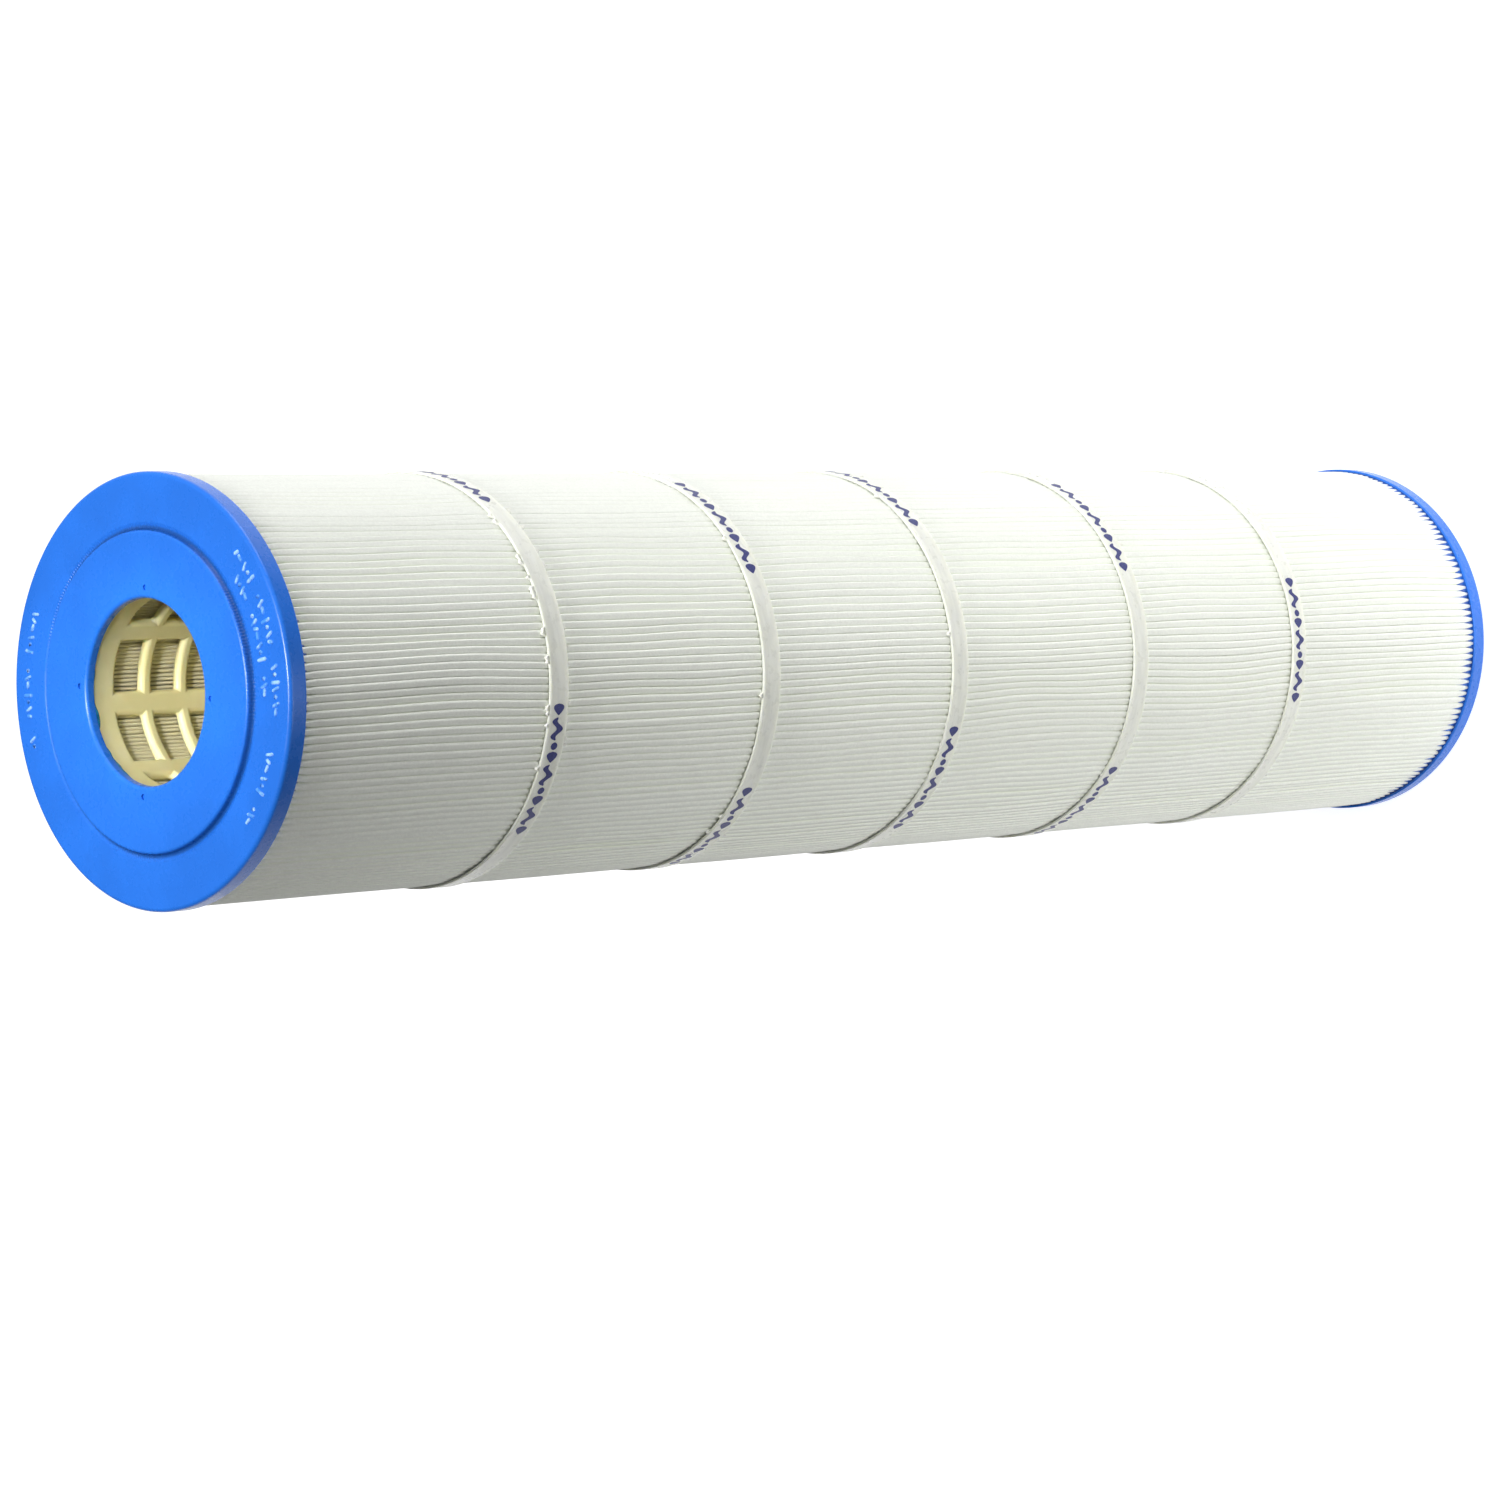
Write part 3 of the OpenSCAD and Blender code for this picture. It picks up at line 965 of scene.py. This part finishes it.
def make_glue(number):
    """The hot-melt bed under a band: an uneven bead, with small blobs squeezed out past its edges."""
    node = "band_adhesive_%d" % number
    z_mid = BAND_Z[number - 1]
    edges = [(side, *glue_edge(number)) for side in (-1, 1)]
    verts = []
    for k in range(GLUE_STEPS):
        halves = []
        for side, width, thick in edges:
            w, f = width[k], thick[k]
            half = [(GLUE_R - 0.7 * MM, w - 0.5 * MM), (GLUE_R - 0.35 * MM, w)]
            half += [(GLUE_R + f * 0.5, w + 0.02 * MM), (GLUE_R + 0.02 * MM + f, w - 0.35 * MM)]
            half.append((GLUE_R - 0.02 * MM + f * 0.3, w - 1.1 * MM))
            halves.append([(r, side * z) for r, z in half])
        section = halves[1] + list(reversed(halves[0]))
        verts += [polar(r, TAU * k / GLUE_STEPS - math.pi, z_mid + z) for r, z in section]
    faces = grid_faces(GLUE_STEPS, len(section), True, True)
    obj = new_object(node + "_bead", verts, faces, [GLUE])
    place(obj, "hot_melt", node)


# ---------------------------------------------------------------- build

make_media()
make_cap("upper_cap", "end_cap_top", True)
make_cap("lower_cap", "end_cap_bottom", False)
make_resin("lower_resin", "potting_resin_bottom", False, 2.4)
make_resin("upper_resin", "potting_resin_top", True, 0.9)
make_flash()
for number in range(1, CORE_SECTIONS + 1):
    make_core_section(number)
for number in range(1, len(BANDS) + 1):
    make_band(number)
    make_glue(number)
seam_materials = frame["nodes"]["media_seam"].data.materials
seam_materials.clear()
seam_materials.append(GLUE)


# ---------------------------------------------------------------- stage, light and camera

def make_floor():
    """A floor that glows white behind the cartridge as a painted pool of light, and fades to dark grey in
    front of it.
    """
    size, dark = 9.0, (0.16, 0.16, 0.16)
    verts = [(-size, -size, 0), (size, -size, 0), (size, size, 0), (-size, size, 0)]
    g = Graph("pale_floor", 0.7, 0.1)
    # painted light: behind the cartridge the floor is paler and emits light; in front it is dark grey
    behind = g.ramp(g.xyz()[1], -0.7, -0.10)
    white = g.mix(g.ramp(g.noise(3, 2), 0.3, 0.7), (0.60, 0.60, 0.60), (0.62, 0.62, 0.62))
    g.color(g.mix(behind, dark, white))
    g.set("Emission Color", (1, 1, 1, 1))
    g.link(g.times(behind, 0.85), g.shader.inputs["Emission Strength"])
    floor = new_object("floor", verts, [(0, 1, 2, 3)], [g.mat])


def make_world():
    """A plain studio room, dim on the -X side and brighter on the +X side."""
    dim, bright, turnover = 0.02, 0.34, 0.9
    world = bpy.data.worlds.new("studio")
    world.use_nodes = True
    tree = world.node_tree
    background = tree.nodes["Background"]
    background.inputs["Color"].default_value = (0.985, 0.99, 1.0, 1)
    coords = tree.nodes.new("ShaderNodeTexCoord")
    split = tree.nodes.new("ShaderNodeSeparateXYZ")
    fade = tree.nodes.new("ShaderNodeMapRange")
    fade.interpolation_type = "SMOOTHSTEP"
    fade.inputs["From Min"].default_value = -turnover
    fade.inputs["From Max"].default_value = turnover
    fade.inputs["To Min"].default_value = dim
    fade.inputs["To Max"].default_value = bright
    tree.links.new(coords.outputs["Generated"], split.inputs[0])
    tree.links.new(split.outputs[0], fade.inputs["Value"])
    tree.links.new(fade.outputs["Result"], background.inputs["Strength"])
    bpy.context.scene.world = world


def aim(data, where, target):
    """Hangs a light in the scene, pointing at the target."""
    light = bpy.data.objects.new(data.name, data)
    light.location = where
    light.rotation_euler = (Vector(where) - Vector(target)).to_track_quat("Z", "Y").to_euler()
    bpy.context.scene.collection.objects.link(light)
    return light


def area_light(name, where, target, size, power, color=(1, 1, 1), spread=180):
    """A round soft box; size in metres, power in watts, spread in degrees."""
    data = bpy.data.lights.new(name, "AREA")
    data.shape = "DISK"
    data.size = size
    data.energy = power
    data.color = color
    data.spread = math.radians(spread)
    aim(data, where, target).visible_camera = False


def snoot(where, target, width, power):
    """A narrow spot that reaches down through the opening; width is of its beam at the target."""
    data = bpy.data.lights.new("snoot", "SPOT")
    data.energy = power
    data.shadow_soft_size = 0.05
    data.spot_size = 2 * math.atan(width / 2 / (Vector(where) - Vector(target)).length)
    data.spot_blend = 0.5
    aim(data, where, target)


def make_lights():
    area_light("overhead", (0.15, -0.2, 2.3), (0, 0, TOP), 0.32, 27)
    area_light("key", (1.6, -0.35, 0.75), (0, 0, TOP * 0.45), 1.2, 14)
    area_light("low_fill", (-0.05, -0.8, 0.38), (0, 0, 0.27), 0.42, 1.02, (1.0, 1.0, 0.97), 110)
    snoot((0.26, -0.70, TOP + 1.0), (0, 0.001, TOP), 0.066, 104)


def make_camera():
    """A long lens looking down at 45 degrees, rolled so that the upright cartridge lies across the view."""
    target, distance = Vector((-0.0387, 0.0, 0.4524)), 2.0908
    azimuth, elevation, roll = math.radians(-86.99), math.radians(45.51), math.radians(-93.64)
    level = math.cos(elevation)
    back = Vector((level * math.cos(azimuth), level * math.sin(azimuth), math.sin(elevation)))
    right = Vector((0, 0, 1)).cross(back).normalized()
    up = back.cross(right)
    turned = right * math.cos(roll) + up * math.sin(roll)
    matrix = Matrix((turned, back.cross(turned), back)).transposed().to_4x4()
    matrix.translation = target + back * distance
    data = bpy.data.cameras.new("camera")
    data.lens = 109.74
    data.sensor_width = 36
    data.clip_end = 50
    camera = bpy.data.objects.new("camera", data)
    bpy.context.scene.collection.objects.link(camera)
    camera.matrix_world = matrix
    bpy.context.scene.camera = camera


make_floor()
make_world()
make_lights()
make_camera()
bpy.context.scene.view_settings.view_transform = "Standard"
